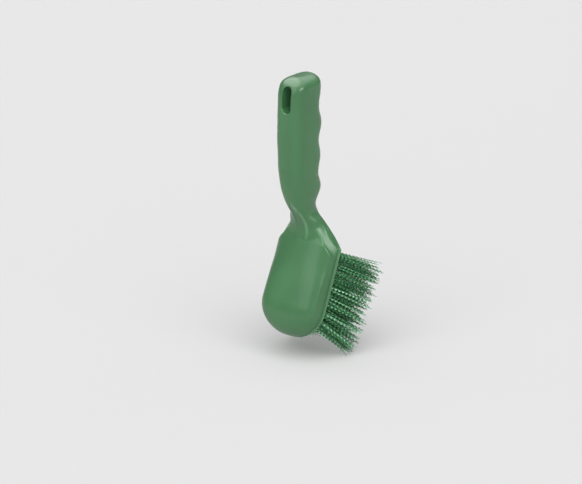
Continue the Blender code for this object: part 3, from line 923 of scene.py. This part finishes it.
def filament():
    """Green filament whose tone changes from one to the next, with its crimps painted pale one way and dark
    the other as painted glints and shade, and pale tips.
    """
    material, tree, shader = shader_of("crimped_filament")
    mottle = noise(tree, object_place(tree), scale=260.0, detail=2.0, rough=0.5)
    base = ramp(tree, point_value(tree, "tone"), *zip((0.1, 0.5, 0.95), BRISTLE))
    # painted glints and shade along the crimps
    glints = ramp(tree, point_value(tree, "crest"), *zip((0.1, 0.5, 0.9), BRISTLE_GLINTS))
    tips = ramp(tree, point_value(tree, "reach"), (0.0, grey(BRISTLE_ROOT)), (0.2, grey(1.0)),
                (0.88, grey(1.0)), (1.0, BRISTLE_TIP))
    spots = ramp(tree, mottle, (0.35, grey(BRISTLE_MOTTLE[0])), (0.65, grey(BRISTLE_MOTTLE[1])))
    tree.links.new(multiply(tree, base, tips, spots, glints), shader.inputs["Base Color"])
    shader.inputs["Roughness"].default_value = BRISTLE_ROUGHNESS
    return material


def steel_wire():
    material, tree, shader = shader_of("drawn_wire")
    drawn = noise(tree, object_place(tree), scale=900.0, detail=2.0, rough=0.5, stretch=(0.1, 1, 1))
    tree.links.new(ramp(tree, drawn, (0.3, STEEL[0]), (0.7, STEEL[1])), shader.inputs["Base Color"])
    tree.links.new(remap(tree, drawn, (0.3, 0.7), STEEL_ROUGHNESS), shader.inputs["Roughness"])
    shader.inputs["Metallic"].default_value = 1.0
    bump(tree, shader, (drawn, 0.1, 0.05 * MM))
    return material


def make_floor(height):
    material, tree, shader = shader_of("studio_floor")
    pale = noise(tree, object_place(tree), scale=1.5, detail=2.0, rough=0.5)
    low, high = [grey(FLOOR_ALBEDO * share) for share in FLOOR_MOTTLE]
    tree.links.new(ramp(tree, pale, (0.3, low), (0.7, high)), shader.inputs["Base Color"])
    shader.inputs["Emission Color"].default_value = (1, 1, 1, 1)
    shader.inputs["Emission Strength"].default_value = FLOOR_GLOW
    shader.inputs["Roughness"].default_value = FLOOR_ROUGHNESS
    shader.inputs["Specular IOR Level"].default_value = 0.0
    corners = [(x * FLOOR_SIZE, y * FLOOR_SIZE, height) for x, y in ((-1, -1), (1, -1), (1, 1), (-1, 1))]
    floor = new_object("floor", corners, [(0, 1, 2, 3)], False)
    floor.data.materials.append(material)
    return floor


def make_lamp(name, direction, radiance, spread, diffuse, glossy):
    """A far, round lamp of a known radiance, seen under a spread in degrees."""
    lamp = bpy.data.lights.new(name, "SUN")
    lamp.energy = radiance * math.pi * math.sin(math.radians(spread) / 2) ** 2
    lamp.angle = math.radians(spread)
    obj = bpy.data.objects.new(name, lamp)
    bpy.context.scene.collection.objects.link(obj)
    azimuth, elevation = [math.radians(angle) for angle in direction]
    flat = math.cos(elevation)
    aim = Vector((math.cos(azimuth) * flat, math.sin(azimuth) * flat, math.sin(elevation)))
    obj.rotation_euler = aim.to_track_quat("Z", "Y").to_euler()
    obj.visible_diffuse = diffuse
    obj.visible_glossy = glossy


def make_lights():
    """A room that is brightest part way up, a wide soft key, and four softboxes that only gloss shows."""
    world = bpy.data.worlds.new("studio")
    bpy.context.scene.world = world
    world.use_nodes = True
    tree = world.node_tree
    way = node(tree, "ShaderNodeSeparateXYZ")
    tree.links.new(node(tree, "ShaderNodeTexCoord").outputs["Generated"], way.inputs["Vector"])
    room = ramp(tree, way.outputs["Z"], *[(height, grey(level)) for height, level in ROOM])
    tree.links.new(room, tree.nodes["Background"].inputs["Color"])
    for lamp in LAMPS:
        make_lamp(*lamp)


def make_camera():
    right = Vector((math.cos(AZIMUTH), math.sin(AZIMUTH), 0))
    up = Vector((-math.sin(AZIMUTH) * math.sin(ELEVATION), math.cos(AZIMUTH) * math.sin(ELEVATION),
                 math.cos(ELEVATION)))
    back = right.cross(up)
    aim = (right * (IMAGE[0] / 2 - ORIGIN_PIXEL[0]) + up * (ORIGIN_PIXEL[1] - IMAGE[1] / 2)) / SCALE * MM
    data = bpy.data.cameras.new("camera")
    data.sensor_width = SENSOR
    data.lens = SENSOR * DISTANCE / (IMAGE[0] / SCALE * MM)
    data.clip_start = CLIP_START
    data.clip_end = CLIP_END
    camera = bpy.data.objects.new("camera", data)
    bpy.context.scene.collection.objects.link(camera)
    camera.location = aim + back * DISTANCE
    camera.rotation_euler = (-back).to_track_quat("-Z", "Y").to_euler()
    bpy.context.scene.camera = camera


def main():
    plastic = moulded_plastic()
    bristle = filament()
    wire = steel_wire()
    block = make_block()
    block.data.materials.clear()
    block.data.materials.append(plastic)
    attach(block, "root")
    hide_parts("handle_block")
    rng = np.random.default_rng(SEED)
    for number, tufts in enumerate(tuft_places(), 1):
        row = make_row(number, tufts, rng)
        row.data.materials.append(bristle)
        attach(row, "root")
        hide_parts(f"tuft_row_{number:02d}")
    for name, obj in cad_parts.items():
        obj.data.materials.clear()
        obj.data.materials.append(wire if name.startswith("staple") else plastic)
    bpy.context.view_layer.update()
    low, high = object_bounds()
    make_floor(low.z / MM - FLOOR_DROP)
    make_lights()
    make_camera()
    view = bpy.context.scene.view_settings
    view.view_transform = "Standard"
    view.look = "None"


main()
